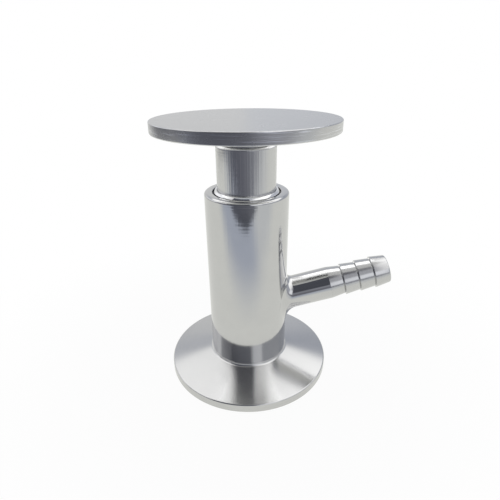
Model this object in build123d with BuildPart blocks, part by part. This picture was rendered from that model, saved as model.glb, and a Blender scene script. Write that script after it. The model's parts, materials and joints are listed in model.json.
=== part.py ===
# Sanitary sampling valve: clamp ferrule, barrel with a hose barb, and a rising disc handle.
# Millimetres. The origin is the centre of the ferrule face, +Z runs up the valve axis
# to the handle, and the outlet points to +X. The valve is shown closed.

import os
from math import cos, radians, sin, tan

from build123d import *

# Fits
static_fit = 0.03        # radial gap between pieces that don't move on each other
running_fit = 0.05       # radial gap between pieces that do
thrust_play = 0.05       # axial play of the stem nut between its washers

# Ferrule
flange_diameter = 50.5
rim_thickness = 2.6
rim_chamfer = 0.3
cone_angle = 12.0
cone_fillet = 0.7
foot_height = 0.8        # straight foot above the cone, up to the barrel
groove_inset = 3.5       # from the rim to the middle of the gasket groove
groove_width = 2.4
groove_depth = 1.2
inlet_depth = 3.0        # straight part of the inlet, below the seat
seat_angle = 45.0
seat_width = 2.5         # radial width of the conical seat

# Walls, from the stem outwards
stem_diameter = 8.0
screw_wall = 1.95
neck_wall = 2.25
guide_ring_wall = 1.32
barrel_wall = 2.3
gland_shoulder = 1.7     # step under the gland, from the upper bore to the chamber
barrel_chamfer = 0.5

# Heights, from the ferrule upwards
chamber_height = 24.8
gland_height = 7.0
screw_flange_height = 5.0
neck_end_gap = 0.6       # from the screw's flange to the neck's lower end
collar_height = 2.4
lift_travel = 6.0
stop_gap = 0.1           # from the raised collar to the guide ring
guide_ring_depth = 5.9
neck_exposed = 13.0      # neck above the barrel, with the valve closed

# Outlet
outlet_rise = 14.9       # from the ferrule to where the outlet's axis crosses the valve axis
outlet_tilt = 15.0
pipe_diameter = 9.9
pipe_wall = 1.7
boss_reach = 5.0         # boss beyond the barrel's radius, along the outlet
boss_fillet = 2.2
pipe_length = 9.2

# Hose barb, each step measured in from the pipe's surface
barb_count = 3
barb_lead_in = 4.4       # taper from the pipe down to the first barb
barb_pitch = 4.65
barb_root_step = 0.55
barb_crest_step = 0.1
barb_tip_step = 0.75
barb_tip_chamfer = 0.4

# Lifting screw
screw_top_gap = 1.0      # from the screw's end to the ledge in the neck
screw_tip_chamfer = 0.5
key_height = 4.0         # part of the screw's bore with two flats
flat_depth = 0.8         # of each flat on the stem
flat_runout = 1.0        # flats below the keyed bore when the stem is up
spanner_hole_diameter = 1.8

# O-rings
gland_ring_section = 1.8
wiper_section = 0.8
wiper_depth = 1.6        # below the guide ring's top
ring_groove_play = 0.1   # each side of an O-ring, along the axis

# Stem and plug
plug_gap = 0.6           # from the plug to the chamber's wall
plug_height = 2.5
plug_taper = 1.5         # height of the cone from the plug down to the rod
seal_lip_gap = 0.3       # from the seal's lip to the inlet's wall
seal_lip_height = 0.4
seal_height = 3.6
seal_spigot_diameter = 6.0
tip_cap_height = 1.6
tip_cap_chamfer = 0.3
tip_screw_diameter = 4.0
tip_screw_head_diameter = 7.0
tip_screw_length = 10.0
tip_hole_spare = 1.0
tip_slot_width = 1.0
tip_slot_depth = 0.7

# Neck
neck_chamfer = 0.6
collar_gap = 0.5         # from the collar to the barrel's upper bore
ledge_thickness = 2.5
cavity_wall = 1.7

# Stem nut and thrust washers
washer_thickness = 0.8
washer_gap = 0.2         # from a washer's edge to the cavity's wall
stem_nut_across_flats = 10.0
stem_nut_height = 2.6
stem_thread_diameter = 6.0

# Guide ring
guide_ring_proud = 0.6
guide_ring_bevel = 0.4

# Handle
hub_landing = 0.5        # hub's shoulder on the neck
hub_plug_depth = 2.2
hub_gap_height = 3.6     # from the neck's top to the disc
hub_spigot_diameter = 8.0
hub_spigot_height = 2.0
disc_diameter = 50.0
disc_thickness = 3.0
disc_edge_chamfer = 0.25

# Radii worked out from the walls
flange_radius = flange_diameter / 2
stem_radius = stem_diameter / 2
screw_bore_radius = stem_radius + running_fit
screw_radius = screw_bore_radius + screw_wall
neck_bore_radius = screw_radius + running_fit
neck_radius = neck_bore_radius + neck_wall
ring_inner = neck_radius + running_fit
ring_outer = ring_inner + guide_ring_wall
upper_radius = ring_outer + static_fit
barrel_radius = upper_radius + barrel_wall
chamber_radius = upper_radius - gland_shoulder
inlet_radius = chamber_radius - seat_width
plug_radius = chamber_radius - plug_gap
lip_radius = inlet_radius - seal_lip_gap
spigot_radius = seal_spigot_diameter / 2
collar_radius = upper_radius - collar_gap
cavity_radius = neck_radius - cavity_wall
washer_radius = cavity_radius - washer_gap
thread_radius = stem_thread_diameter / 2
hub_radius = cavity_radius + hub_landing
pipe_radius = pipe_diameter / 2
pipe_bore_radius = pipe_radius - pipe_wall

# Heights worked out from the stack
cone_foot = rim_thickness + (flange_radius - barrel_radius) * tan(radians(cone_angle))
ferrule_top = cone_foot + foot_height
seat_top = inlet_depth + seat_width / tan(radians(seat_angle))
outlet_height = ferrule_top + outlet_rise
chamber_top = ferrule_top + chamber_height
gland_top = chamber_top + gland_height
screw_flange_top = gland_top + screw_flange_height
neck_bottom = screw_flange_top + neck_end_gap
collar_top = neck_bottom + collar_height
guide_ring_bottom = collar_top + lift_travel + stop_gap
barrel_top = guide_ring_bottom + guide_ring_depth
guide_ring_top = barrel_top + guide_ring_proud
neck_top = barrel_top + neck_exposed
hub_plug_bottom = neck_top - hub_plug_depth
upper_washer_bottom = hub_plug_bottom - washer_thickness
stem_nut_top = upper_washer_bottom - thrust_play
stem_nut_bottom = stem_nut_top - stem_nut_height
ledge_top = stem_nut_bottom - thrust_play - washer_thickness
ledge_bottom = ledge_top - ledge_thickness
screw_top = ledge_bottom - screw_top_gap
key_bottom = screw_top - key_height
flats_bottom = key_bottom - lift_travel - flat_runout
key_width = stem_diameter - 2 * flat_depth
disc_bottom = neck_top + hub_gap_height

outlet_direction = Vector(cos(radians(outlet_tilt)), 0, sin(radians(outlet_tilt)))
outlet_origin = Vector(0, 0, outlet_height)
outlet_axis = Axis(outlet_origin, outlet_direction)
outlet_plane = Plane(outlet_origin, x_dir=(0, 1, 0), z_dir=outlet_direction)
outlet_section = Plane(outlet_origin, x_dir=outlet_direction, z_dir=(0, -1, 0))
pipe_start = barrel_radius + boss_reach
barb_start = pipe_start + pipe_length

all_parts = []


def turn(points, mode=Mode.ADD):
    """Turns a closed outline of (radius, height) points about the valve axis."""
    with BuildSketch(Plane.XZ) as profile:
        with BuildLine():
            Polyline(*points, close=True)
        make_face()
    revolve(profile.sketch, axis=Axis.Z, mode=mode)


def turn_tube(outer, inner, low, high, mode=Mode.ADD):
    """Turns a plain tube from its radii and its two heights."""
    turn([(inner, low), (outer, low), (outer, high), (inner, high)], mode)


def turn_ring(centre_radius, height, section):
    """Turns an O-ring of round section."""
    with BuildSketch(Plane.XZ) as profile:
        with Locations((centre_radius, height)):
            Circle(section / 2)
    revolve(profile.sketch, axis=Axis.Z)


def keep(piece, name):
    """Labels a finished piece and lists it for export."""
    piece.part.label = name
    all_parts.append(piece.part)


# Ferrule: clamp flange, gasket groove, inlet and conical seat
with BuildPart() as ferrule:
    turn([
        (inlet_radius, 0),
        (flange_radius, 0),
        (flange_radius, rim_thickness),
        (barrel_radius, cone_foot),
        (barrel_radius, ferrule_top),
        (chamber_radius, ferrule_top),
        (chamber_radius, seat_top),
        (inlet_radius, inlet_depth),
    ])
    round_edges = ferrule.edges().filter_by(GeomType.CIRCLE)
    chamfer(round_edges.filter_by(lambda e: abs(e.radius - flange_radius) < 0.01), rim_chamfer)
    foot_edge = (
        ferrule.edges().filter_by(GeomType.CIRCLE)
        .filter_by(lambda e: abs(e.radius - barrel_radius) < 0.01).sort_by(Axis.Z)[0]
    )
    fillet(foot_edge, cone_fillet)
    groove_middle = flange_radius - groove_inset
    turn([
        (groove_middle - groove_width / 2, 0),
        (groove_middle + groove_width / 2, 0),
        (groove_middle + groove_width / 4, groove_depth),
        (groove_middle - groove_width / 4, groove_depth),
    ], Mode.SUBTRACT)
keep(ferrule, "ferrule")

# Barrel: chamber, upper bore, and the outlet boss blended into the wall
with BuildPart() as barrel:
    with BuildSketch(Plane.XY.offset(ferrule_top)):
        Circle(barrel_radius)
    extrude(amount=barrel_top - ferrule_top)
    chamfer(barrel.edges().group_by(Axis.Z)[-1], barrel_chamfer)
    with BuildSketch(outlet_plane):
        Circle(pipe_radius)
    extrude(amount=pipe_start)
    boss_seam = barrel.edges().filter_by(GeomType.BSPLINE)
    fillet(boss_seam, boss_fillet)
    turn_tube(chamber_radius, 0, ferrule_top, chamber_top, Mode.SUBTRACT)
    turn_tube(upper_radius, 0, chamber_top, barrel_top, Mode.SUBTRACT)
    with BuildSketch(outlet_plane):
        Circle(pipe_bore_radius)
    extrude(amount=pipe_start, mode=Mode.SUBTRACT)
keep(barrel, "barrel")

# Outlet pipe: a straight polished tube on the boss
with BuildPart() as outlet_pipe:
    with BuildSketch(outlet_plane.offset(pipe_start)):
        Circle(pipe_radius)
        Circle(pipe_bore_radius, mode=Mode.SUBTRACT)
    extrude(amount=pipe_length)
keep(outlet_pipe, "outlet_pipe")

# Hose barb: a turned end with a row of tapered barbs
with BuildPart() as hose_barb:
    first_barb = barb_start + barb_lead_in
    barb_end = first_barb + barb_count * barb_pitch
    outline = [
        (barb_start, pipe_bore_radius),
        (barb_start, pipe_radius),
        (first_barb, pipe_radius - barb_root_step),
    ]
    for barb in range(barb_count):
        shoulder = first_barb + barb * barb_pitch
        is_last = barb == barb_count - 1
        low_step = barb_tip_step if is_last else barb_root_step
        outline.append((shoulder, pipe_radius - barb_crest_step))
        outline.append((shoulder + barb_pitch, pipe_radius - low_step))
    outline.append((barb_end, pipe_bore_radius))
    with BuildSketch(outlet_section) as barb_profile:
        with BuildLine():
            Polyline(*outline, close=True)
        make_face()
    revolve(axis=outlet_axis)
    tip_edge = hose_barb.edges().filter_by(GeomType.CIRCLE).sort_by(outlet_axis)[-2:].sort_by(
        lambda e: e.radius)[-1]
    chamfer(tip_edge, barb_tip_chamfer)
keep(hose_barb, "hose_barb")

# Gland bush: seals the stem above the chamber, with two inner grooves and one outer groove
stem_ring_radius = stem_radius + static_fit + gland_ring_section / 2
gland_ring_radius = upper_radius - static_fit - gland_ring_section / 2
stem_ring_heights = [
    chamber_top + gland_height * 0.27,
    chamber_top + gland_height * 0.73,
]
gland_ring_height = chamber_top + gland_height / 2
with BuildPart() as gland_bush:
    turn_tube(upper_radius - static_fit, stem_radius + running_fit, chamber_top, gland_top)
    for height in stem_ring_heights:
        half = gland_ring_section / 2 + ring_groove_play
        outer = stem_ring_radius + gland_ring_section / 2 + static_fit
        turn_tube(outer, stem_radius, height - half, height + half, Mode.SUBTRACT)
    half = gland_ring_section / 2 + ring_groove_play
    inner = gland_ring_radius - gland_ring_section / 2 - static_fit
    turn_tube(upper_radius, inner, gland_ring_height - half, gland_ring_height + half, Mode.SUBTRACT)
keep(gland_bush, "gland_bush")

# O-rings of the gland
for name, height in zip(("stem_o_ring_lower", "stem_o_ring_upper"), stem_ring_heights):
    with BuildPart() as stem_o_ring:
        turn_ring(stem_ring_radius, height, gland_ring_section)
    keep(stem_o_ring, name)

with BuildPart() as gland_o_ring:
    turn_ring(gland_ring_radius, gland_ring_height, gland_ring_section)
keep(gland_o_ring, "gland_o_ring")

# Lifting screw: a flange screwed into the barrel and the threaded post that the neck climbs
with BuildPart() as lifting_screw:
    turn([
        (screw_bore_radius, gland_top),
        (upper_radius - static_fit, gland_top),
        (upper_radius - static_fit, screw_flange_top),
        (screw_radius, screw_flange_top),
        (screw_radius, screw_top),
        (screw_bore_radius, screw_top),
    ])
    top_edges = lifting_screw.edges().group_by(Axis.Z)[-1].sort_by(lambda e: e.radius)
    chamfer(top_edges[-1], screw_tip_chamfer)
    # Two flats in the upper bore keep the stem from turning
    with BuildSketch(Plane.XY.offset(key_bottom)):
        Circle(screw_bore_radius + screw_wall / 4)
        Rectangle(2 * screw_radius, key_width + 2 * running_fit, mode=Mode.SUBTRACT)
    extrude(amount=key_height)
    # Two spanner holes in the flange
    with BuildSketch(Plane.XY.offset(screw_flange_top)):
        with PolarLocations((screw_radius + upper_radius) / 2, 2, start_angle=90):
            Circle(spanner_hole_diameter / 2)
    extrude(amount=-screw_flange_height / 2, mode=Mode.SUBTRACT)
keep(lifting_screw, "lifting_screw")

# Guide ring: closes the barrel's mouth, guides the neck and stops its collar
wiper_radius = neck_radius + static_fit + wiper_section / 2
wiper_height = guide_ring_top - wiper_depth
with BuildPart() as guide_ring:
    turn_tube(ring_outer, ring_inner, guide_ring_bottom, guide_ring_top)
    chamfer(guide_ring.edges().group_by(Axis.Z)[-1], guide_ring_bevel)
    half = wiper_section / 2 + ring_groove_play
    outer = wiper_radius + wiper_section / 2 + static_fit
    turn_tube(outer, neck_radius, wiper_height - half, wiper_height + half, Mode.SUBTRACT)
keep(guide_ring, "guide_ring")

with BuildPart() as neck_wiper:
    turn_ring(wiper_radius, wiper_height, wiper_section)
keep(neck_wiper, "neck_wiper")

# Plug seal: a rubber cone that closes on the seat
seat_slope = tan(radians(seat_angle))
seal_gap = running_fit / cos(radians(seat_angle))


def seat_height(radius):
    """Height of the seal's cone at a radius, clear of the seat."""
    return inlet_depth + (radius - inlet_radius) / seat_slope + seal_gap


seal_cone_bottom = seat_height(lip_radius)
seal_cone_top = seat_height(plug_radius)
seal_bottom = seal_cone_bottom - seal_lip_height
seal_top = seal_bottom + seal_height
with BuildPart() as plug_seal:
    turn([
        (spigot_radius + static_fit, seal_bottom),
        (lip_radius, seal_bottom),
        (lip_radius, seal_cone_bottom),
        (plug_radius, seal_cone_top),
        (plug_radius, seal_top),
        (spigot_radius + static_fit, seal_top),
    ])
keep(plug_seal, "plug_seal")

# Stem: plug head, rod, flats and the thread for its nut
plug_top = seal_top + plug_height
tip_hole_radius = tip_screw_diameter / 2 + static_fit
tip_bottom = seal_bottom - tip_cap_height
tip_hole_top = tip_bottom + tip_screw_length + tip_hole_spare
with BuildPart() as stem:
    turn([
        (0, seal_bottom),
        (spigot_radius, seal_bottom),
        (spigot_radius, seal_top),
        (plug_radius, seal_top),
        (plug_radius, plug_top),
        (stem_radius, plug_top + plug_taper),
        (stem_radius, stem_nut_bottom),
        (thread_radius, stem_nut_bottom),
        (thread_radius, stem_nut_top),
        (0, stem_nut_top),
    ])
    turn_tube(tip_hole_radius, 0, seal_bottom, tip_hole_top, Mode.SUBTRACT)
    # Two flats on the upper rod run in the lifting screw's keyed bore
    with BuildSketch(Plane.XY.offset(flats_bottom)):
        Rectangle(2 * stem_diameter, 2 * stem_diameter)
        Rectangle(2 * stem_diameter, key_width, mode=Mode.SUBTRACT)
    extrude(amount=stem_nut_bottom - flats_bottom, mode=Mode.SUBTRACT)
keep(stem, "stem")

# Tip cap and its screw hold the seal on the stem
head_radius = tip_screw_head_diameter / 2
head_drop = head_radius - tip_screw_diameter / 2
with BuildPart() as tip_cap:
    turn_tube(lip_radius, tip_hole_radius, tip_bottom, seal_bottom)
    chamfer(tip_cap.edges().group_by(Axis.Z)[0].sort_by(lambda e: e.radius)[-1], tip_cap_chamfer)
    turn([
        (0, tip_bottom),
        (head_radius + static_fit, tip_bottom),
        (tip_hole_radius, tip_bottom + head_drop),
        (0, tip_bottom + head_drop),
    ], Mode.SUBTRACT)
keep(tip_cap, "tip_cap")

with BuildPart() as tip_screw:
    turn([
        (0, tip_bottom),
        (head_radius, tip_bottom),
        (tip_screw_diameter / 2, tip_bottom + head_drop),
        (tip_screw_diameter / 2, tip_bottom + tip_screw_length),
        (0, tip_bottom + tip_screw_length),
    ])
    with BuildSketch(Plane.XY.offset(tip_bottom)):
        Rectangle(tip_screw_head_diameter, tip_slot_width)
    extrude(amount=tip_slot_depth, mode=Mode.SUBTRACT)
keep(tip_screw, "tip_screw")

# Stem nut: the stem's head between the thrust washers
with BuildPart() as stem_nut:
    with BuildSketch(Plane.XY.offset(stem_nut_bottom)):
        RegularPolygon(stem_nut_across_flats / 2, 6, major_radius=False)
        Circle(thread_radius + static_fit, mode=Mode.SUBTRACT)
    extrude(amount=stem_nut_height)
keep(stem_nut, "stem_nut")

# Neck: the rising sleeve, threaded inside, with a ledge that lifts the stem nut
with BuildPart() as neck_sleeve:
    turn([
        (neck_bore_radius, neck_bottom),
        (collar_radius, neck_bottom),
        (collar_radius, collar_top),
        (neck_radius, collar_top),
        (neck_radius, neck_top),
        (cavity_radius, neck_top),
        (cavity_radius, ledge_top),
        (screw_bore_radius, ledge_top),
        (screw_bore_radius, ledge_bottom),
        (neck_bore_radius, ledge_bottom),
    ])
    chamfer(neck_sleeve.edges().group_by(Axis.Z)[-1].sort_by(lambda e: e.radius)[-1], neck_chamfer)
keep(neck_sleeve, "neck_sleeve")

# Thrust washers under and over the stem nut
washer_heights = {
    "thrust_washer_lower": (ledge_top, screw_bore_radius),
    "thrust_washer_upper": (upper_washer_bottom, thread_radius),
}
for name, (height, bore_radius) in washer_heights.items():
    with BuildPart() as thrust_washer:
        turn_tube(washer_radius, bore_radius, height, height + washer_thickness)
    keep(thrust_washer, name)

# Handle hub: screwed into the neck, with a spigot welded into the disc
with BuildPart() as handle_hub:
    turn([
        (0, hub_plug_bottom),
        (cavity_radius - static_fit, hub_plug_bottom),
        (cavity_radius - static_fit, neck_top),
        (hub_radius, neck_top),
        (hub_radius, disc_bottom),
        (hub_spigot_diameter / 2, disc_bottom),
        (hub_spigot_diameter / 2, disc_bottom + hub_spigot_height),
        (0, disc_bottom + hub_spigot_height),
    ])
keep(handle_hub, "handle_hub")

# Handle disc: a flat plate with a blind socket for the hub
with BuildPart() as handle_disc:
    with BuildSketch(Plane.XY.offset(disc_bottom)):
        Circle(disc_diameter / 2)
    extrude(amount=disc_thickness)
    chamfer(handle_disc.edges().filter_by(GeomType.CIRCLE), disc_edge_chamfer)
    with BuildSketch(Plane.XY.offset(disc_bottom)):
        Circle(hub_spigot_diameter / 2 + static_fit)
    extrude(amount=hub_spigot_height, mode=Mode.SUBTRACT)
keep(handle_disc, "handle_disc")

os.makedirs("parts", exist_ok=True)
for piece in all_parts:
    export_step(piece, f"parts/{piece.label}.step")
    print(piece.label, round(piece.volume, 2), piece.is_valid)
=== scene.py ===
# Looks of a sanitary sampling valve: polished barrel and neck, turned ferrule and barb,
# brushed disc handle. The scene is in metres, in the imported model's own frame.

import json
from math import atan2, cos, pi, radians, sin, sqrt

import bmesh
import bpy
from mathutils import Matrix, Vector


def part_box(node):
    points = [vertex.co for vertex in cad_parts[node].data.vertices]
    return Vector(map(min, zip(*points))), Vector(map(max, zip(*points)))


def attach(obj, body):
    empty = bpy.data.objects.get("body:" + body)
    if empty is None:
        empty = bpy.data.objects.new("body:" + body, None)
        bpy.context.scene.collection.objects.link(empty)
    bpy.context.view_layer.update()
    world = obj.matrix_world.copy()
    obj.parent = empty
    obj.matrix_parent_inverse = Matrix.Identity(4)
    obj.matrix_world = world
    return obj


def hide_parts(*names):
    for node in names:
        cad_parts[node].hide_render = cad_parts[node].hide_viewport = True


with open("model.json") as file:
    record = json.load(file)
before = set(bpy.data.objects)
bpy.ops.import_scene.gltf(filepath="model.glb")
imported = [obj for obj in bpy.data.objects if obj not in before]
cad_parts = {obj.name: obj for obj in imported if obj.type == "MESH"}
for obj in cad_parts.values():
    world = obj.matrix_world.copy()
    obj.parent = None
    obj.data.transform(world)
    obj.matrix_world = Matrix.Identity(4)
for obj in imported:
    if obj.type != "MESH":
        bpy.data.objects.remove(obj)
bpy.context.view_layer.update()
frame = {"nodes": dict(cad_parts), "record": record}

MM = 0.001
MICRON = 0.000001
TURN_STEPS = 256
EDGE_STEPS = 4

# How near points lie, in millimetres, to count as one or as on a ring, a wall or a flat facet
SAME_PLACE = 1e-5
ON_SURFACE = 1e-4
ON_FACET = 1e-3

# The sizes below are in millimetres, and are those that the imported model's boxes don't give

# Ferrule
RIM_THICKNESS = 2.6
CONE_FOOT = 5.4164
GROOVE_MIDDLE = 21.75
GROOVE_HALF_WIDTH = 1.2
GROOVE_DEPTH = 1.2
INLET_RADIUS = 5.5
INLET_DEPTH = 3.0
SEAT_TOP = 5.5

# Barrel and guide ring
CHAMBER_RADIUS = 8.0
CHAMBER_TOP = 31.0164
UPPER_RADIUS = 9.7
BARREL_ROUNDING = 0.7
RING_SLOPE = 0.66
RING_GAP = 0.42
RING_NOTCH = 4 * RING_SLOPE
RING_LEAN = 0.6 * RING_SLOPE
RING_CLEARANCE = 0.05

# Outlet, pipe and barb
OUTLET_HEIGHT = 21.1164
OUTLET_TILT = radians(15.0)
OUTLET_START = Vector((0, 0, OUTLET_HEIGHT))
OUTLET_ALONG = Vector((cos(OUTLET_TILT), 0, sin(OUTLET_TILT)))
OUTLET_ACROSS = Vector((0, -1, 0))
OUTLET_UP = Vector((-sin(OUTLET_TILT), 0, cos(OUTLET_TILT)))
PIPE_RADIUS = 4.95
PIPE_BORE = 3.25
BOSS_END = 17.0
BARB_START = 26.2
BARB_LEAD_IN = 4.4
BARB_PITCH = 4.65
BARB_COUNT = 3
BARB_ROOT_STEP = 0.55
BARB_CREST_STEP = 0.1
BARB_TIP_STEP = 0.75
BARB_RELIEF = 0.35
TAPER_HOLD = 0.2
TAPER_HOLD_STEP = 0.02

# Neck, hub and disc
NECK_RADIUS = 8.3
NECK_BORE = 6.05
CAVITY_RADIUS = 6.6
LEDGE_BORE = 4.05
LEDGE_TOP = 64.5164
LEDGE_BOTTOM = 62.0164
COLLAR_TOP = 46.0164
NECK_CHAMFER = 0.6
HUB_RADIUS = 7.1
HUB_PLUG_RADIUS = 6.57
HUB_SPIGOT_RADIUS = 4.0
HUB_SPIGOT_HEIGHT = 2.0
SPIGOT_CLEARANCE = 0.03

# The weld between barrel and outlet: a long blend below, tighter beside and above
WELD_BELOW = 5.6
WELD_BESIDE = 4.2
WELD_ABOVE = 1.2
WELD_STEPS = 14

# Windows cut in the barrel's wall and bore, where the outlet joins them
WINDOW_COLUMNS = 56
WINDOW_ROWS = 48
WINDOW_HEIGHTS = (13.4, 34.2)
WINDOW_FILL_CUTS = 5
BORE_WINDOW_COLUMNS = 44
BORE_WINDOW_HEIGHTS = (17.2, 29.2)
BORE_FILL_CUTS = 2

# Camera, fitted to the photograph
CAMERA_PLACE = (0.0, -107.49, 89.70)
CAMERA_YAW = radians(0.403)
CAMERA_PITCH = radians(25.044)
CAMERA_ROLL = radians(-0.608)
CAMERA_LENS = 28.32
CAMERA_NEAREST = 0.005


def box_mm(node):
    """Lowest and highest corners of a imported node, in millimetres."""
    low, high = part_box(node)
    return low / MM, high / MM


# Turned pieces


def spin_outline(mesh, corners, closed=True):
    """Spins an outline of (radius, height, easing) corners about Z and eases its edges."""
    points = [mesh.verts.new((radius, 0, height)) for radius, height, _ in corners]
    pairs = list(zip(points, points[1:]))
    if closed:
        pairs.append((points[-1], points[0]))
    lines = [mesh.edges.new(pair) for pair in pairs]
    bmesh.ops.spin(
        mesh, geom=points + lines, cent=(0, 0, 0), axis=(0, 0, 1), angle=2 * pi,
        steps=TURN_STEPS, use_merge=True,
    )
    bmesh.ops.remove_doubles(mesh, verts=mesh.verts, dist=SAME_PLACE)
    for easing in sorted({corner[2] for corner in corners} - {0}, reverse=True):
        rings = [(r, z) for r, z, size in corners if size == easing]
        ease(mesh, rings, easing)
    bmesh.ops.recalc_face_normals(mesh, faces=mesh.faces)


def on_ring(vert, rings):
    """True where a vertex lies on one of the (radius, height) rings."""
    radius, height = vert.co.xy.length, vert.co.z
    return any(
        abs(radius - r) < ON_SURFACE and abs(height - z) < ON_SURFACE for r, z in rings)


def ease(mesh, rings, size):
    """Rounds the circular edges that lie on the given rings."""
    found = [
        edge for edge in mesh.edges
        if abs(edge.verts[0].co.z - edge.verts[1].co.z) < SAME_PLACE
        and on_ring(edge.verts[0], rings) and on_ring(edge.verts[1], rings)
    ]
    bmesh.ops.bevel(
        mesh, geom=found, offset=size, affect="EDGES", segments=EDGE_STEPS,
        profile=0.5, material=-1, clamp_overlap=True,
    )


def link_piece(mesh, name, finish):
    """Makes the object of a mesh, with its material, and puts it in the scene."""
    data = bpy.data.meshes.new(name)
    mesh.to_mesh(data)
    mesh.free()
    data.materials.append(finish)
    piece = bpy.data.objects.new(name, data)
    bpy.context.scene.collection.objects.link(piece)
    return piece


def finish_piece(mesh, name, finish, body, nodes, even=True):
    """Turns a finished mesh from millimetres to metres and makes its piece ride on its body."""
    bmesh.ops.scale(mesh, vec=(MM, MM, MM), verts=mesh.verts)
    for face in mesh.faces:
        face.smooth = True
    piece = link_piece(mesh, name, finish)
    if even:
        shading = piece.modifiers.new("even_shading", "WEIGHTED_NORMAL")
        shading.mode = "FACE_AREA"
        shading.weight = 50
    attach(piece, body)
    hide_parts(*nodes)
    return piece


def outlet_matrix():
    """Turns a piece made about Z so that it lies along the outlet."""
    turn = Matrix.Rotation(pi / 2 - OUTLET_TILT, 4, "Y")
    return Matrix.Translation(OUTLET_START) @ turn


# Ferrule, ring, neck, hub and disc


def make_ferrule(finish):
    """Clamp flange with its gasket groove, inlet and conical seat."""
    low, high = box_mm("ferrule")
    barrel_radius = -box_mm("barrel")[0].x
    mesh = bmesh.new()
    spin_outline(mesh, [
        (INLET_RADIUS, low.z, 0.15),
        (GROOVE_MIDDLE - GROOVE_HALF_WIDTH, low.z, 0.1),
        (GROOVE_MIDDLE - GROOVE_HALF_WIDTH / 2, GROOVE_DEPTH, 0.45),
        (GROOVE_MIDDLE + GROOVE_HALF_WIDTH / 2, GROOVE_DEPTH, 0.45),
        (GROOVE_MIDDLE + GROOVE_HALF_WIDTH, low.z, 0.1),
        (high.x, low.z, 0.3),
        (high.x, RIM_THICKNESS, 0.35),
        (barrel_radius, CONE_FOOT, 0.6),
        (barrel_radius, high.z, 0),
        (CHAMBER_RADIUS, high.z, 0),
        (CHAMBER_RADIUS, SEAT_TOP, 0.1),
        (INLET_RADIUS, INLET_DEPTH, 0.1),
    ])
    return finish_piece(mesh, "clamp_ferrule", finish, "housing", ["ferrule"])


def make_ring(finish):
    """Guide ring in the barrel's mouth."""
    low, high = box_mm("guide_ring")
    mesh = bmesh.new()
    bore = NECK_RADIUS + RING_CLEARANCE
    notch_foot = high.z - RING_NOTCH
    spin_outline(mesh, [
        (bore, low.z, 0.1),
        (high.x, low.z, 0.1),
        (high.x, notch_foot, 0.05),
        (high.x - RING_GAP, notch_foot + RING_GAP, 0.05),
        (high.x - RING_GAP, high.z - RING_SLOPE, 0.05),
        (high.x - RING_GAP - RING_LEAN, high.z, 0.1),
        (bore, high.z, 0.15),
    ])
    return finish_piece(
        mesh, "neck_guide_ring", finish, "housing", ["guide_ring"])


def make_neck(finish):
    """Rising neck with its collar and the ledge that lifts the stem."""
    low, high = box_mm("neck_sleeve")
    mesh = bmesh.new()
    spin_outline(mesh, [
        (NECK_BORE, low.z, 0.1),
        (high.x, low.z, 0.2),
        (high.x, COLLAR_TOP, 0.2),
        (NECK_RADIUS, COLLAR_TOP, 0),
        (NECK_RADIUS, high.z, NECK_CHAMFER),
        (CAVITY_RADIUS, high.z, 0.1),
        (CAVITY_RADIUS, LEDGE_TOP, 0),
        (LEDGE_BORE, LEDGE_TOP, 0),
        (LEDGE_BORE, LEDGE_BOTTOM, 0),
        (NECK_BORE, LEDGE_BOTTOM, 0),
    ])
    return finish_piece(
        mesh, "rising_neck", finish, "handle_group", ["neck_sleeve"])


def make_hub(finish):
    """Hub between the neck and the disc."""
    low, high = box_mm("handle_hub")
    neck_top = box_mm("neck_sleeve")[1].z
    disc_bottom = box_mm("handle_disc")[0].z
    mesh = bmesh.new()
    spin_outline(mesh, [
        (0, low.z, 0),
        (HUB_PLUG_RADIUS, low.z, 0.2),
        (HUB_PLUG_RADIUS, neck_top, 0),
        (HUB_RADIUS, neck_top, 0.15),
        (HUB_RADIUS, disc_bottom, 0),
        (HUB_SPIGOT_RADIUS, disc_bottom, 0),
        (HUB_SPIGOT_RADIUS, high.z, 0),
        (0, high.z, 0),
    ], closed=False)
    return finish_piece(
        mesh, "disc_hub", finish, "handle_group", ["handle_hub"])


def make_disc(finish):
    """Handle disc with a blind socket for the hub's spigot."""
    low, high = box_mm("handle_disc")
    socket_radius = HUB_SPIGOT_RADIUS + SPIGOT_CLEARANCE
    mesh = bmesh.new()
    spin_outline(mesh, [
        (0, low.z + HUB_SPIGOT_HEIGHT, 0),
        (socket_radius, low.z + HUB_SPIGOT_HEIGHT, 0),
        (socket_radius, low.z, 0),
        (high.x, low.z, 0.3),
        (high.x, high.z, 0.25),
        (0, high.z, 0),
    ], closed=False)
    return finish_piece(
        mesh, "hand_disc", finish, "handle_group", ["handle_disc"])


# Outlet pipe and hose barb


def make_pipe(finish):
    """Polished tube between the boss and the barb."""
    mesh = bmesh.new()
    spin_outline(mesh, [
        (PIPE_BORE, BOSS_END, 0),
        (PIPE_RADIUS, BOSS_END, 0),
        (PIPE_RADIUS, BARB_START, 0),
        (PIPE_BORE, BARB_START, 0),
    ])
    mesh.transform(outlet_matrix())
    piece = finish_piece(
        mesh, "sample_pipe", finish, "housing", ["outlet_pipe"], even=False)
    set_true_normals(piece.data, -box_mm("barrel")[0].x)
    return piece


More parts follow.
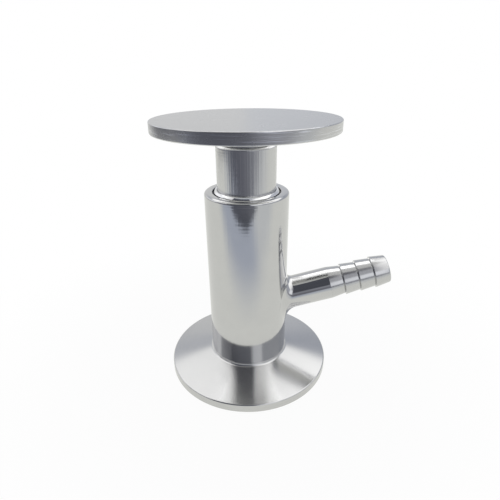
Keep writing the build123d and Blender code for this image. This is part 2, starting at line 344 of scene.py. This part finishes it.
def make_barb(finish):
    """Turned hose barb: tapers that rise to sharp shoulders facing the barrel.

    Points near a taper's ends hold its slope there, so that it mirrors as one straight cone.
    """
    root = PIPE_RADIUS - BARB_ROOT_STEP
    crest = PIPE_RADIUS - BARB_CREST_STEP
    tip = PIPE_RADIUS - BARB_TIP_STEP
    first = BARB_START + BARB_LEAD_IN
    corners = [
        (PIPE_BORE, BARB_START, 0),
        (PIPE_RADIUS, BARB_START, 0.03),
        (PIPE_RADIUS - TAPER_HOLD_STEP, BARB_START + TAPER_HOLD, 0),
        (root, first - BARB_RELIEF, 0.03),
        (root - BARB_RELIEF / 2, first, 0.03),
    ]
    for barb in range(BARB_COUNT):
        shoulder = first + barb * BARB_PITCH
        end = shoulder + BARB_PITCH
        corners.append((crest, shoulder, 0.08))
        corners.append((crest - TAPER_HOLD_STEP, shoulder + TAPER_HOLD, 0))
        if barb == BARB_COUNT - 1:
            corners.append((tip, end, 0.4))
        else:
            relief = end - BARB_RELIEF
            corners.append((root + TAPER_HOLD_STEP, relief - TAPER_HOLD, 0))
            corners.append((root, relief, 0.03))
            corners.append((root - BARB_RELIEF / 2, end, 0.03))
    corners.append((PIPE_BORE, corners[-1][1], 0.2))
    mesh = bmesh.new()
    spin_outline(mesh, corners)
    mesh.transform(outlet_matrix())
    return finish_piece(
        mesh, "hose_barb_end", finish, "housing", ["hose_barb"])


# Barrel: a turned shell with a window, closed by the boss and its blended weld


def row_heights(low, high, rows):
    """Evenly spaced heights from low to high."""
    return [low + (high - low) * row / rows for row in range(rows + 1)]


def open_window(mesh, radius, heights, columns):
    """Deletes a patch of the wall at a radius, on the outlet's side; returns its edges."""
    half = columns * pi / TURN_STEPS
    patch = []
    for face in mesh.faces:
        middle = face.calc_center_median()
        flat = all(abs(vert.co.xy.length - radius) < ON_FACET for vert in face.verts)
        inside = heights[0] < middle.z < heights[1] and abs(atan2(middle.y, middle.x)) < half
        if flat and inside:
            patch.append(face)
    taken = set(patch)
    border = [
        edge for edge in {edge for face in patch for edge in face.edges}
        if sum(face in taken for face in edge.link_faces) == 1
    ]
    bmesh.ops.delete(mesh, geom=patch, context="FACES_ONLY")
    inner = [edge for edge in mesh.edges if not edge.link_faces]
    bmesh.ops.delete(mesh, geom=inner, context="EDGES")
    loose = [vert for vert in mesh.verts if not vert.link_edges]
    bmesh.ops.delete(mesh, geom=loose, context="VERTS")
    return [edge for edge in border if edge.is_valid]


def outlet_side(angle):
    """Unit vector square to the outlet's axis, at an angle from straight sideways."""
    return OUTLET_ACROSS * cos(angle) + OUTLET_UP * sin(angle)


def weld_size(angle):
    """Radius of the weld's blend at an angle round the outlet."""
    end = WELD_ABOVE if sin(angle) > 0 else WELD_BELOW
    return WELD_BESIDE + (end - WELD_BESIDE) * sin(angle) ** 2


def weld_ball(angle, wall):
    """Centre of a ball that rolls in the corner between the pipe and the wall."""
    size = weld_size(angle)
    side = outlet_side(angle) * (PIPE_RADIUS + size)
    along = (sqrt((wall + size) ** 2 - side.y ** 2) - side.x) / cos(OUTLET_TILT)
    return OUTLET_START + side + OUTLET_ALONG * along


def weld_point(angle, share, wall):
    """Point of the weld's surface, from the pipe (share 0) to the wall (share 1)."""
    centre = weld_ball(angle, wall)
    start = -outlet_side(angle)
    end = -Vector((centre.x, centre.y, 0)).normalized()
    return centre + start.slerp(end, share) * weld_size(angle)


def boss_point(angle, along, radius):
    """Point on a round of the outlet at a distance along its axis."""
    return OUTLET_START + OUTLET_ALONG * along + outlet_side(angle) * radius


def grow_ring(mesh, edges, place):
    """Extrudes a ring of edges and puts each new vertex where place(angle) says."""
    grown = bmesh.ops.extrude_edge_only(mesh, edges=edges)["geom"]
    for vert in [item for item in grown if isinstance(item, bmesh.types.BMVert)]:
        vert.co = place(angle_round(vert.co))
    return [item for item in grown if isinstance(item, bmesh.types.BMEdge)]


def angle_round(point):
    """Angle of a point round the outlet's axis."""
    from_start = point - OUTLET_START
    return atan2(from_start.dot(OUTLET_UP), from_start.dot(OUTLET_ACROSS))


def join_to_wall(mesh, ring, border, radius, cuts):
    """Bridges a ring to a window's border and lays the new vertices on the wall."""
    before = set(mesh.edges)
    bridged = bmesh.ops.bridge_loops(mesh, edges=ring + border)
    spokes = [edge for edge in bridged["edges"] if edge not in before]
    made = bmesh.ops.subdivide_edges(mesh, edges=spokes, cuts=cuts, use_grid_fill=True)
    for vert in {item for item in made["geom_inner"] if isinstance(item, bmesh.types.BMVert)}:
        vert.co.xy = vert.co.xy.normalized() * radius


def make_barrel(finish):
    """Polished barrel with the outlet's boss welded on and blended in."""
    low, high = box_mm("barrel")
    wall, foot, top = -low.x, low.z, high.z
    outer_rows = row_heights(*WINDOW_HEIGHTS, WINDOW_ROWS)
    inner_rows = row_heights(*BORE_WINDOW_HEIGHTS, WINDOW_ROWS)
    mesh = bmesh.new()
    spin_outline(mesh, [
        (CHAMBER_RADIUS, foot, 0),
        (wall, foot, 0),
        *[(wall, height, 0) for height in outer_rows],
        (wall, top, BARREL_ROUNDING),
        (UPPER_RADIUS, top, 0.15),
        (UPPER_RADIUS, CHAMBER_TOP, 0),
        (CHAMBER_RADIUS, CHAMBER_TOP, 0),
        *[(CHAMBER_RADIUS, height, 0) for height in reversed(inner_rows)],
    ])
    outer_border = open_window(mesh, wall, WINDOW_HEIGHTS, WINDOW_COLUMNS)
    inner_border = open_window(mesh, CHAMBER_RADIUS, BORE_WINDOW_HEIGHTS, BORE_WINDOW_COLUMNS)
    border_points = {vert for edge in outer_border for vert in edge.verts}
    angles = sorted(angle_round(vert.co) for vert in border_points)
    rim = bmesh.ops.create_circle(mesh, segments=len(angles), radius=1)["verts"]
    for angle, vert in zip(angles, rim):
        vert.co = boss_point(angle, BOSS_END, PIPE_RADIUS)
    boss_rim = list({edge for vert in rim for edge in vert.link_edges})
    ring = boss_rim
    for step in range(WELD_STEPS + 1):
        share = step / WELD_STEPS
        ring = grow_ring(mesh, ring, lambda angle: weld_point(angle, share, wall))
    join_to_wall(mesh, ring, outer_border, wall, WINDOW_FILL_CUTS)
    ring = grow_ring(mesh, boss_rim, lambda angle: boss_point(angle, BOSS_END, PIPE_BORE))
    ring = grow_ring(mesh, ring, lambda angle: bore_point(angle, CHAMBER_RADIUS))
    join_to_wall(mesh, ring, inner_border, CHAMBER_RADIUS, BORE_FILL_CUTS)
    bmesh.ops.recalc_face_normals(mesh, faces=mesh.faces)
    piece = finish_piece(
        mesh, "polished_barrel", finish, "housing", ["barrel"], even=False)
    set_true_normals(piece.data, wall)
    return piece


def bore_point(angle, wall):
    """Point where the outlet's bore meets the chamber's wall."""
    side = outlet_side(angle) * PIPE_BORE
    along = (sqrt(wall ** 2 - side.y ** 2) - side.x) / cos(OUTLET_TILT)
    return boss_point(angle, along, PIPE_BORE)


def set_true_normals(data, wall):
    """Gives the wall and the boss the true normals of their cylinders, for clean reflections."""
    normals = []
    for vert in data.vertices:
        place = vert.co / MM
        side = outlet_side(angle_round(place))
        off_axis = (place - OUTLET_START).dot(side)
        if abs(place.xy.length - wall) < ON_SURFACE:
            normals.append(Vector((place.x, place.y, 0)).normalized())
        elif abs(off_axis - PIPE_RADIUS) < ON_SURFACE and place.x > wall / 2:
            normals.append(side)
        else:
            normals.append(vert.normal.copy())
    data.normals_split_custom_set_from_vertices(normals)


# Shader nodes


class Socket:
    """A shader value that plain arithmetic turns into Math nodes."""

    def __init__(self, nodes, link):
        self.nodes = nodes
        self.link = link

    def __add__(self, other):
        return self.nodes.maths("ADD", self, other)

    __radd__ = __add__

    def __sub__(self, other):
        return self.nodes.maths("SUBTRACT", self, other)

    def __rsub__(self, other):
        return self.nodes.maths("SUBTRACT", other, self)

    def __mul__(self, other):
        return self.nodes.maths("MULTIPLY", self, other)

    __rmul__ = __mul__

    def __truediv__(self, other):
        return self.nodes.maths("DIVIDE", self, other)


class Nodes:
    """A node tree whose nodes are made, set and linked by one method."""

    def __init__(self, owner):
        owner.use_nodes = True
        self.tree = owner.node_tree
        self.tree.nodes.clear()

    def node(self, kind, settings=None, inputs=None, output=0):
        """Makes a node, applies its settings, feeds its sockets and returns an output."""
        made = self.tree.nodes.new(kind)
        for key, value in (settings or {}).items():
            if key == "stops":
                for index, (place, colour) in enumerate(value):
                    # A new ramp already has two stops
                    if index < 2:
                        stop = made.color_ramp.elements[index]
                        stop.position = place
                    else:
                        stop = made.color_ramp.elements.new(place)
                    stop.color = (*colour, 1)
            else:
                setattr(made, key, value)
        for key, value in (inputs or {}).items():
            if isinstance(value, Socket):
                self.tree.links.new(value.link, made.inputs[key])
            elif isinstance(value, tuple) and len(value) == 3 and made.inputs[key].type == "RGBA":
                made.inputs[key].default_value = (*value, 1)
            else:
                made.inputs[key].default_value = value
        return Socket(self, made.outputs[output]) if made.outputs else None

    def maths(self, operation, *values):
        """One Math node."""
        return self.node("ShaderNodeMath", {"operation": operation}, dict(enumerate(values)))

    def smooth(self, value, low, high):
        """0 below low, 1 above high, and a smooth rise between."""
        return self.node(
            "ShaderNodeMapRange", {"interpolation_type": "SMOOTHSTEP"},
            {"Value": value, "From Min": low, "From Max": high})

    def mix(self, share, first, second):
        """Mixes two colours."""
        return self.node(
            "ShaderNodeMix", {"data_type": "RGBA"}, {0: share, 6: first, 7: second}, output=2)

    def parts(self, vector):
        """The three numbers of a vector."""
        split = self.node("ShaderNodeSeparateXYZ", None, {0: vector})
        outputs = split.link.node.outputs
        return [Socket(self, outputs[index]) for index in range(3)]

    def noise(self, vector, scale, detail=2.0, roughness=0.5):
        """Noise that changes along all three directions."""
        return self.node(
            "ShaderNodeTexNoise", None,
            {"Vector": vector, "Scale": scale, "Detail": detail, "Roughness": roughness})

    def line_noise(self, place, scale, detail=2.0, roughness=0.5):
        """Noise that changes along one number only."""
        return self.node(
            "ShaderNodeTexNoise", {"noise_dimensions": "1D"},
            {"W": place, "Scale": scale, "Detail": detail, "Roughness": roughness})


def object_place(nodes):
    """Place of a point in its object's own coordinates."""
    return nodes.node("ShaderNodeTexCoord", output=3)


def ray_kinds(nodes):
    """Is the ray from the camera, is it mirrored on its way, and how often was it mirrored."""
    path = nodes.node("ShaderNodeLightPath").link.node.outputs
    mirrored = nodes.maths(
        "MAXIMUM", Socket(nodes, path["Is Glossy Ray"]), Socket(nodes, path["Is Transmission Ray"]))
    return Socket(nodes, path["Is Camera Ray"]), mirrored, Socket(nodes, path["Glossy Depth"])


def round_valve(nodes):
    """Angle, radius and height of a point about the valve's axis."""
    x, y, z = nodes.parts(object_place(nodes))
    return nodes.maths("ARCTAN2", y, x), nodes.maths("SQRT", x * x + y * y), z


def along_outlet(nodes):
    """Distance of a point along the outlet's axis."""
    x, _, z = nodes.parts(object_place(nodes))
    return x * cos(OUTLET_TILT) + (z - OUTLET_HEIGHT * MM) * sin(OUTLET_TILT)


# Steel's colours
STEEL = (0.61, 0.61, 0.605)
STEEL_DARK = (0.56, 0.56, 0.56)
# Lighter steel painted on the disc's lower face, a painted highlight for where it is mirrored
PAINTED_LIGHT_STEEL = (0.76, 0.76, 0.76)
# Lighter steel of the guide ring, painted so that its reflections read whiter, a painted highlight
RING_STEEL = (0.86, 0.86, 0.86)
RING_STEEL_DARK = (0.80, 0.80, 0.80)
DISC_STEEL_DARK = (0.53, 0.53, 0.535)
# Pale bluish colour of the painted glints on the scratches of the disc's edge
PAINTED_GLINT = (0.80, 0.81, 0.84)

# How fine the marks are: repeats in a metre, or in a radian where they run up and down
PATCHES = 220.0
SMEARS = 1100.0
RINGS = 1400.0
TURNING = 2500.0
SCRATCHES = 2600.0
DRAWN_ON_BARREL = 14.0
DRAWN_ON_NECK = 16.0
SCRATCHES_ROUND = 2.5
MOTTLE = 600.0
GRAIN = 6000.0

# How much the drawn marks and rings stand out beside the other marks
BARREL_DRAWN_WEIGHT = 3.5
NECK_DRAWN_WEIGHT = 5.0
NECK_RING_WEIGHT = 0.4

# Where marks, painted glints and painted lighter steel begin and end, in metres
WALL_EDGE = (0.0121, 0.0125)
BARREL_FOOT_MARKS = (0.013, 0.016)
BARREL_TOP_MARKS = (0.040, 0.046)
# Radius from which the disc's edge gets its painted glints
DISC_EDGE = (0.0246, 0.0249)
# Height below which the disc's lower face gets painted lighter steel
DISC_UNDERSIDE = (0.0747, 0.0749)

# Share of the scratches' noise above which a hairline gets a painted glint
BRIGHT_SCRATCH = (0.50, 0.68)


def steel(name, roughness, spread, grooves, microns, smear_depth=0.1, light=STEEL,
          dark=STEEL_DARK, streaks=None, bright=None, anisotropic=0.0, rotation=0.0):
    """Stainless steel: cloudy polish, fine grooves some microns deep, and wear in the gloss."""
    material = bpy.data.materials.new(name)
    nodes = Nodes(material)
    place = object_place(nodes)
    patches = nodes.noise(place, PATCHES, 4.0, 0.6)
    smears = nodes.noise(place, SMEARS, 3.0, 0.7)
    colour = nodes.mix(patches, dark, light)
    # Painted glints: where the streaks mask picks a scratch, the colour turns pale bluish
    if streaks is not None:
        colour = nodes.mix(streaks(nodes), colour, PAINTED_GLINT)
    # Painted highlight: where the mask picks the disc's lower face, the colour turns to a lighter
    # steel
    if bright is not None:
        colour = nodes.mix(bright(nodes), colour, PAINTED_LIGHT_STEEL)
    gloss = roughness + (patches - 0.5) * spread + (smears - 0.5) * spread
    bump = nodes.node("ShaderNodeBump", None, {
        "Strength": 1.0,
        "Distance": microns * MICRON,
        "Height": smears * smear_depth + grooves(nodes),
    })
    shader = nodes.node("ShaderNodeBsdfPrincipled", None, {
        "Base Color": colour, "Metallic": 1.0, "Roughness": gloss, "Normal": bump,
        "Anisotropic": anisotropic, "Anisotropic Rotation": rotation,
    })
    nodes.node("ShaderNodeOutputMaterial", None, {"Surface": shader})
    return material


def ring_marks(nodes):
    """Faint rings near the barrel's top, and drawn marks near its top and foot."""
    angle, radius, height = round_valve(nodes)
    on_wall = 1 - nodes.smooth(radius, *WALL_EDGE)
    rings = nodes.line_noise(height, RINGS, 3.0, 0.6) - 0.5
    drawn = nodes.line_noise(angle, DRAWN_ON_BARREL, 3.0, 0.6) - 0.5
    near_top = nodes.smooth(height, *BARREL_TOP_MARKS)
    near_foot = 1 - nodes.smooth(height, *BARREL_FOOT_MARKS)
    return (rings * near_top + drawn * (near_top + near_foot) * BARREL_DRAWN_WEIGHT) * on_wall


def drawn_marks(nodes):
    """Marks that run up and down the neck, with faint rings."""
    angle, _, height = round_valve(nodes)
    drawn = nodes.line_noise(angle, DRAWN_ON_NECK, 4.0, 0.65)
    rings = nodes.line_noise(height, RINGS, 3.0, 0.6)
    return drawn * NECK_DRAWN_WEIGHT + rings * NECK_RING_WEIGHT


def face_marks(nodes):
    """Turning marks round the valve's axis on a flat or conical face."""
    _, radius, _ = round_valve(nodes)
    return nodes.line_noise(radius, TURNING, 4.0, 0.7)


def barb_marks(nodes):
    """Turning marks round the outlet's axis."""
    return nodes.line_noise(along_outlet(nodes), TURNING, 4.0, 0.7)


def edge_marks(nodes):
    """Long scratches round the disc's edge."""
    angle, _, height = round_valve(nodes)
    stretched = nodes.node(
        "ShaderNodeCombineXYZ", None, {0: angle * SCRATCHES_ROUND, 1: height * SCRATCHES})
    return nodes.noise(stretched, 1.0, 4.0, 0.7)


def edge_painted_glints(nodes):
    """Scratches along the disc's edge, whose pale bluish hairlines are painted glints of light."""
    _, radius, _ = round_valve(nodes)
    on_edge = nodes.smooth(radius, *DISC_EDGE)
    return nodes.smooth(edge_marks(nodes), *BRIGHT_SCRATCH) * on_edge


def underside_painted_light(nodes):
    """Mask of the disc's lower face, where its steel is painted lighter: a painted highlight, seen
    where other steel mirrors that face.
    """
    _, _, height = round_valve(nodes)
    return 1 - nodes.smooth(height, *DISC_UNDERSIDE)


def plain_finish(name, colour, second, roughness):
    """Plastic or rubber with a slight mottle and a fine grain."""
    material = bpy.data.materials.new(name)
    nodes = Nodes(material)
    place = object_place(nodes)
    mottle = nodes.noise(place, MOTTLE, 4.0, 0.6)
    grain = nodes.noise(place, GRAIN)
    bump = nodes.node(
        "ShaderNodeBump", None, {"Strength": 1.0, "Distance": 10 * MICRON, "Height": grain})
    shader = nodes.node("ShaderNodeBsdfPrincipled", None, {
        "Base Color": nodes.mix(mottle, colour, second),
        "Roughness": roughness + (mottle - 0.5) * 0.1,
        "Normal": bump,
    })
    nodes.node("ShaderNodeOutputMaterial", None, {"Surface": shader})
    return material


# Each steel's roughness and its spread, then its marks and their depth in microns
polished = steel("polished_steel_look", 0.09, 0.03, ring_marks, 6, smear_depth=0.02)
polished_pipe = steel("polished_pipe_look", 0.06, 0.03, barb_marks, 0.1)
# Guide ring: a lighter copy of the polished steel, a painted highlight that whitens its reflections
ring_steel_painted_light = steel(
    "ring_painted_light_look", 0.07, 0.03, ring_marks, 1, light=RING_STEEL, dark=RING_STEEL_DARK)
neck_steel = steel("polished_neck_look", 0.12, 0.04, drawn_marks, 14, smear_depth=0.02)
cone_satin = steel(
    "turned_cone_look", 0.17, 0.03, face_marks, 0.2, anisotropic=0.9, rotation=0.25)
barb_satin = steel("turned_barb_look", 0.19, 0.04, barb_marks, 0.8)
# Brushed disc: painted glints on the scratches of its edge, and painted lighter steel on its lower
# face
disc_satin = steel(
    "brushed_disc_look", 0.26, 0.06, edge_marks, 8, smear_depth=0.01,
    dark=DISC_STEEL_DARK, streaks=edge_painted_glints, bright=underside_painted_light)
inner_steel = steel("turned_inner_look", 0.25, 0.06, ring_marks, 0.8)
ptfe = plain_finish("ptfe_look", (0.86, 0.86, 0.84), (0.8, 0.8, 0.77), 0.4)
black_rubber = plain_finish(
    "black_rubber_look", (0.022, 0.022, 0.024), (0.035, 0.035, 0.035), 0.55)
white_silicone = plain_finish(
    "white_silicone_look", (0.82, 0.82, 0.8), (0.76, 0.76, 0.73), 0.45)

make_ferrule(cone_satin)
make_barrel(polished)
make_ring(ring_steel_painted_light)
make_neck(neck_steel)
make_hub(polished)
make_disc(disc_satin)
make_pipe(polished_pipe)
make_barb(barb_satin)

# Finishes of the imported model's own meshes, by their slot
slot_looks = {
    "turned_steel": inner_steel,
    "satin_steel": inner_steel,
    "polished_steel": polished,
    "ptfe": ptfe,
    "black_rubber": black_rubber,
    "white_silicone": white_silicone,
}
for subpart in frame["record"]["subparts"]:
    node = frame["nodes"][subpart["node"]]
    node.data.materials.clear()
    node.data.materials.append(slot_looks[subpart["material_slot"]])


# Camera


def make_camera():
    """Camera at the photograph's viewpoint."""
    forward = Vector((
        sin(CAMERA_YAW) * cos(CAMERA_PITCH),
        cos(CAMERA_YAW) * cos(CAMERA_PITCH),
        -sin(CAMERA_PITCH),
    ))
    level = Vector((cos(CAMERA_YAW), -sin(CAMERA_YAW), 0))
    up = level.cross(forward)
    right = level * cos(CAMERA_ROLL) + up * sin(CAMERA_ROLL)
    top = up * cos(CAMERA_ROLL) - level * sin(CAMERA_ROLL)
    turn = Matrix((right, top, -forward)).transposed().to_4x4()
    data = bpy.data.cameras.new("camera")
    data.lens = CAMERA_LENS
    data.clip_start = CAMERA_NEAREST
    camera = bpy.data.objects.new("camera", data)
    camera.matrix_world = Matrix.Translation(Vector(CAMERA_PLACE) * MM) @ turn
    bpy.context.scene.collection.objects.link(camera)
    bpy.context.scene.camera = camera


# Surroundings

WHITE = (1, 1, 1)

# Table: its colours, with a painted shade in front and a painted glow behind in what the steel
# mirrors of it, and where that ends and changes, in metres
TABLE_SIZE = 3.0
TABLE_BELOW = 0.0002
TABLE_FRONT = 0.136
TABLE_FRONT_BLUR = 0.003
TABLE_SKEW = 0.37
TABLE_LEFT = 0.36
TABLE_LEFT_BLUR = 0.03
TABLE_PAPER = (0.85, 0.85, 0.85)
TABLE_NEAR = (0.88, 0.885, 0.85)
# Bluish grey of the painted shade on the mirrored table in front
TABLE_FAR_PAINTED_SHADE = (0.52, 0.56, 0.65)
TABLE_TURNS_BLUE = (0.035, 0.10)
TABLE_LESS_BLUE = (0.015, 0.07)
TABLE_BACK = (0.018, 0.03)
# Painted glow of the table behind the valve when mirrored twice, stronger than white
TABLE_BACK_PAINTED_GLOW = (2.2, 2.2, 2.2)
TABLE_SHADOW = (0.03, 0.12)
TABLE_SHADOW_DEPTH = 0.05
SECOND_MIRROR = (1.4, 1.6)

# Dark card: how far it stands from the valve, and its left low and right high corners
CARD_PLACE = -0.15
CARD_CORNERS = ((-0.20, 0.062), (0.026, 0.32))
CARD_DARK = (0.07, 0.075, 0.09)
CARD_LIGHT = (0.12, 0.125, 0.15)
CARD_CLOUDS = 30.0

# Soft light behind and above
SOFTBOX_PLACE = (0.0, 0.34, 0.60)
SOFTBOX_AIM = (0.0, 0.0, 0.03)
SOFTBOX_SIZE = (0.24, 0.27)
SOFTBOX_POWER = 0.36


def table_look():
    """White to the camera with a faint shadow; when mirrored, a little warm, with a painted bluish
    shade further in front and, from the second mirroring on, a painted glow behind.
    """
    material = bpy.data.materials.new("table_look")
    nodes = Nodes(material)
    x, y, _ = nodes.parts(object_place(nodes))
    seen, mirrored, times = ray_kinds(nodes)
    shaded = nodes.node("ShaderNodeBsdfDiffuse", None, {"Color": TABLE_PAPER})
    white = nodes.node("ShaderNodeEmission", None, {"Color": WHITE, "Strength": 1.0})
    away = nodes.maths("SQRT", x * x + y * y)
    clean = 1 - TABLE_SHADOW_DEPTH + nodes.smooth(away, *TABLE_SHADOW) * TABLE_SHADOW_DEPTH
    paper = nodes.node("ShaderNodeMixShader", None, {0: seen * clean, 1: shaded, 2: white})
    # Painted shade: the mirrored table turns bluish grey further in front, less so to the right
    blue = nodes.smooth(0 - y, *TABLE_TURNS_BLUE) * (1 - nodes.smooth(x, *TABLE_LESS_BLUE) * 0.6)
    reflection = nodes.mix(blue, TABLE_NEAR, TABLE_FAR_PAINTED_SHADE)
    # Painted light: from the second mirroring on, the table behind the valve glows at more than
    # twice white
    twice = nodes.smooth(times, *SECOND_MIRROR)
    reflection = nodes.mix(
        twice * nodes.smooth(y, *TABLE_BACK), reflection, TABLE_BACK_PAINTED_GLOW)
    reflected = nodes.node("ShaderNodeEmission", None, {"Color": reflection, "Strength": 1.0})
    front = 0 - y - nodes.maths("MAXIMUM", x, 0.0) * TABLE_SKEW
    past_front = nodes.smooth(
        front, TABLE_FRONT - TABLE_FRONT_BLUR, TABLE_FRONT + TABLE_FRONT_BLUR)
    past_left = nodes.smooth(0 - x, TABLE_LEFT - TABLE_LEFT_BLUR, TABLE_LEFT + TABLE_LEFT_BLUR)
    beyond = nodes.maths("MAXIMUM", past_front, past_left)
    clear = nodes.node("ShaderNodeBsdfTransparent")
    reflected = nodes.node("ShaderNodeMixShader", None, {0: beyond, 1: reflected, 2: clear})
    surface = nodes.node("ShaderNodeMixShader", None, {0: mirrored, 1: paper, 2: reflected})
    nodes.node("ShaderNodeOutputMaterial", None, {"Surface": surface})
    return material


def make_table():
    """Pale table under the valve."""
    mesh = bmesh.new()
    bmesh.ops.create_grid(mesh, x_segments=2, y_segments=2, size=TABLE_SIZE)
    bmesh.ops.translate(mesh, vec=(0, 0, -TABLE_BELOW), verts=mesh.verts)
    table = link_piece(mesh, "table", table_look())


# What the steel mirrors above the table: colours by degrees round it, from the camera's side,
# with the right side positive, in three bands from low to high
LOW_ROUND = [
    (-180, (0.60, 0.60, 0.60)), (-150, (0.80, 0.80, 0.80)), (-120, (0.15, 0.155, 0.18)),
    (-60, (0.13, 0.135, 0.165)), (-30, (0.15, 0.155, 0.19)), (0, (0.20, 0.205, 0.24)),
    (20, (0.28, 0.29, 0.33)), (32, (0.36, 0.37, 0.41)), (55, (0.37, 0.375, 0.41)),
    (68, (0.14, 0.145, 0.17)), (85, (0.18, 0.185, 0.21)), (120, (0.62, 0.62, 0.65)),
    (180, (0.60, 0.60, 0.60)),
]
MIDDLE_ROUND = [
    (-180, (0.78, 0.785, 0.79)), (-150, (0.78, 0.785, 0.79)), (-130, (1.1, 1.1, 1.12)),
    (-96, (1.1, 1.11, 1.15)), (-84, (0.38, 0.39, 0.43)), (-60, (0.24, 0.245, 0.28)),
    (-6, (0.26, 0.27, 0.31)), (5, (0.32, 0.33, 0.37)), (15, (1.1, 1.12, 1.18)),
    (34, (1.1, 1.12, 1.18)), (44, (0.52, 0.54, 0.60)), (130, (0.50, 0.52, 0.58)),
    (180, (0.72, 0.74, 0.78)),
]
TOP_ROUND = [
    (-180, (0.90, 0.90, 0.91)), (-162, (1.0, 1.0, 1.01)), (-148, (1.36, 1.36, 1.36)),
    (-90, (1.36, 1.36, 1.36)), (-66, (0.90, 0.90, 0.92)), (-45, (0.55, 0.55, 0.58)),
    (-22, (0.20, 0.20, 0.23)), (-12, (0.14, 0.14, 0.17)), (-3, (0.15, 0.15, 0.18)),
    (3, (0.44, 0.45, 0.49)), (20, (0.52, 0.53, 0.57)), (28, (0.90, 0.90, 0.93)),
    (36, (1.15, 1.15, 1.16)), (80, (1.5, 1.5, 1.5)), (146, (1.6, 1.6, 1.6)),
    (162, (1.0, 1.0, 1.01)), (180, (0.90, 0.90, 0.91)),
]

# Where one part of the studio passes into the next, by height and side on a round of radius 1
FLOOR_EDGE = (-0.42, -0.26)
LOW_TO_MIDDLE = (0.0, 0.06)
BACK_RISE = (0.30, 0.48)
MIDDLE_TO_TOP = (0.54, 0.62)
TOP_LOWERED_IN_FRONT = 0.12
FRONT_DARKENS = (0.80, 0.86)
OVERHEAD = (0.95, 0.98)
BEHIND = (0.1, 0.4)
BACK_SIDES = (-0.3, 0.3)
AHEAD_END = (-0.12, -0.02)
AHEAD_RIGHT_END = (0.10, 0.20)
FLOOR_DARK = (0.055, 0.06, 0.075)
BACK_LEFT = (0.62, 0.64, 0.69)
BACK_RIGHT = (0.47, 0.50, 0.57)
FRONT_DARK = (0.10, 0.10, 0.12)
OVERHEAD_GREY = (0.7, 0.7, 0.7)
ROOM_LIGHT = (0.6, 0.6, 0.62)


def round_ramp(nodes, turn, colours):
    """Colour by the direction round the table."""
    stops = [(0.5 + angle / 360, colour) for angle, colour in colours]
    return nodes.node("ShaderNodeValToRGB", {"stops": stops}, {0: turn})


def card_look():
    """Dark, slightly cloudy card that no light falls on."""
    material = bpy.data.materials.new("dark_card_look")
    nodes = Nodes(material)
    cloudy = nodes.mix(nodes.noise(object_place(nodes), CARD_CLOUDS), CARD_DARK, CARD_LIGHT)
    shader = nodes.node("ShaderNodeEmission", None, {"Color": cloudy, "Strength": 1.0})
    nodes.node("ShaderNodeOutputMaterial", None, {"Surface": shader})
    return material


def make_card():
    """Dark card in front of the valve, seen only in the steel."""
    low, high = CARD_CORNERS
    width, height = high[0] - low[0], high[1] - low[1]
    middle = ((high[0] + low[0]) / 2, CARD_PLACE, (high[1] + low[1]) / 2)
    mesh = bmesh.new()
    bmesh.ops.create_grid(mesh, x_segments=1, y_segments=1, size=0.5)
    bmesh.ops.rotate(mesh, matrix=Matrix.Rotation(pi / 2, 3, "X"), verts=mesh.verts)
    bmesh.ops.scale(mesh, vec=(width, 1, height), verts=mesh.verts)
    bmesh.ops.translate(mesh, vec=middle, verts=mesh.verts)
    card = link_piece(mesh, "dark_card", card_look())
    card.visible_camera = False
    card.visible_diffuse = False
    card.visible_shadow = False


def make_world():
    """White to the camera; a studio with a dark front in reflections."""
    world = bpy.data.worlds.new("studio")
    bpy.context.scene.world = world
    nodes = Nodes(world)
    x, y, z = nodes.parts(nodes.node("ShaderNodeTexCoord"))
    seen, mirrored, _ = ray_kinds(nodes)
    turn = nodes.maths("ARCTAN2", x, 0 - y) / (2 * pi) + 0.5
    behind = nodes.smooth(y, *BEHIND)
    ahead = (1 - nodes.smooth(y, *AHEAD_END)) * (1 - nodes.smooth(x, *AHEAD_RIGHT_END))
    low = nodes.mix(nodes.smooth(z, *FLOOR_EDGE), FLOOR_DARK, round_ramp(nodes, turn, LOW_ROUND))
    back = nodes.mix(nodes.smooth(x, *BACK_SIDES), BACK_LEFT, BACK_RIGHT)
    middle = nodes.mix(
        behind * nodes.smooth(z, *BACK_RISE), round_ramp(nodes, turn, MIDDLE_ROUND), back)
    top = round_ramp(nodes, turn, TOP_ROUND)
    studio = nodes.mix(nodes.smooth(z, *LOW_TO_MIDDLE), low, middle)
    lowered = z + (1 - behind) * TOP_LOWERED_IN_FRONT
    studio = nodes.mix(nodes.smooth(lowered, *MIDDLE_TO_TOP), studio, top)
    studio = nodes.mix(ahead * nodes.smooth(z, *FRONT_DARKENS), studio, FRONT_DARK)
    studio = nodes.mix(nodes.smooth(z, *OVERHEAD), studio, OVERHEAD_GREY)
    colour = nodes.mix(seen, nodes.mix(mirrored, ROOM_LIGHT, studio), WHITE)
    background = nodes.node("ShaderNodeBackground", None, {"Color": colour, "Strength": 1.0})
    nodes.node("ShaderNodeOutputWorld", None, {"Surface": background})


def make_softbox(name, place, aim, size, power):
    """A rectangular soft light, its size in metres and its power in watts."""
    data = bpy.data.lights.new(name, "AREA")
    data.shape = "RECTANGLE"
    data.size, data.size_y = size
    data.energy = power
    away = Vector(place) - Vector(aim)
    turn = away.to_track_quat("Z", "Y").to_matrix().to_4x4()
    lamp = bpy.data.objects.new(name, data)
    lamp.matrix_world = Matrix.Translation(place) @ turn
    bpy.context.scene.collection.objects.link(lamp)


make_camera()
make_table()
make_card()
make_world()
make_softbox("overhead_softbox", SOFTBOX_PLACE, SOFTBOX_AIM, SOFTBOX_SIZE, SOFTBOX_POWER)

bpy.context.scene.view_settings.view_transform = "Standard"
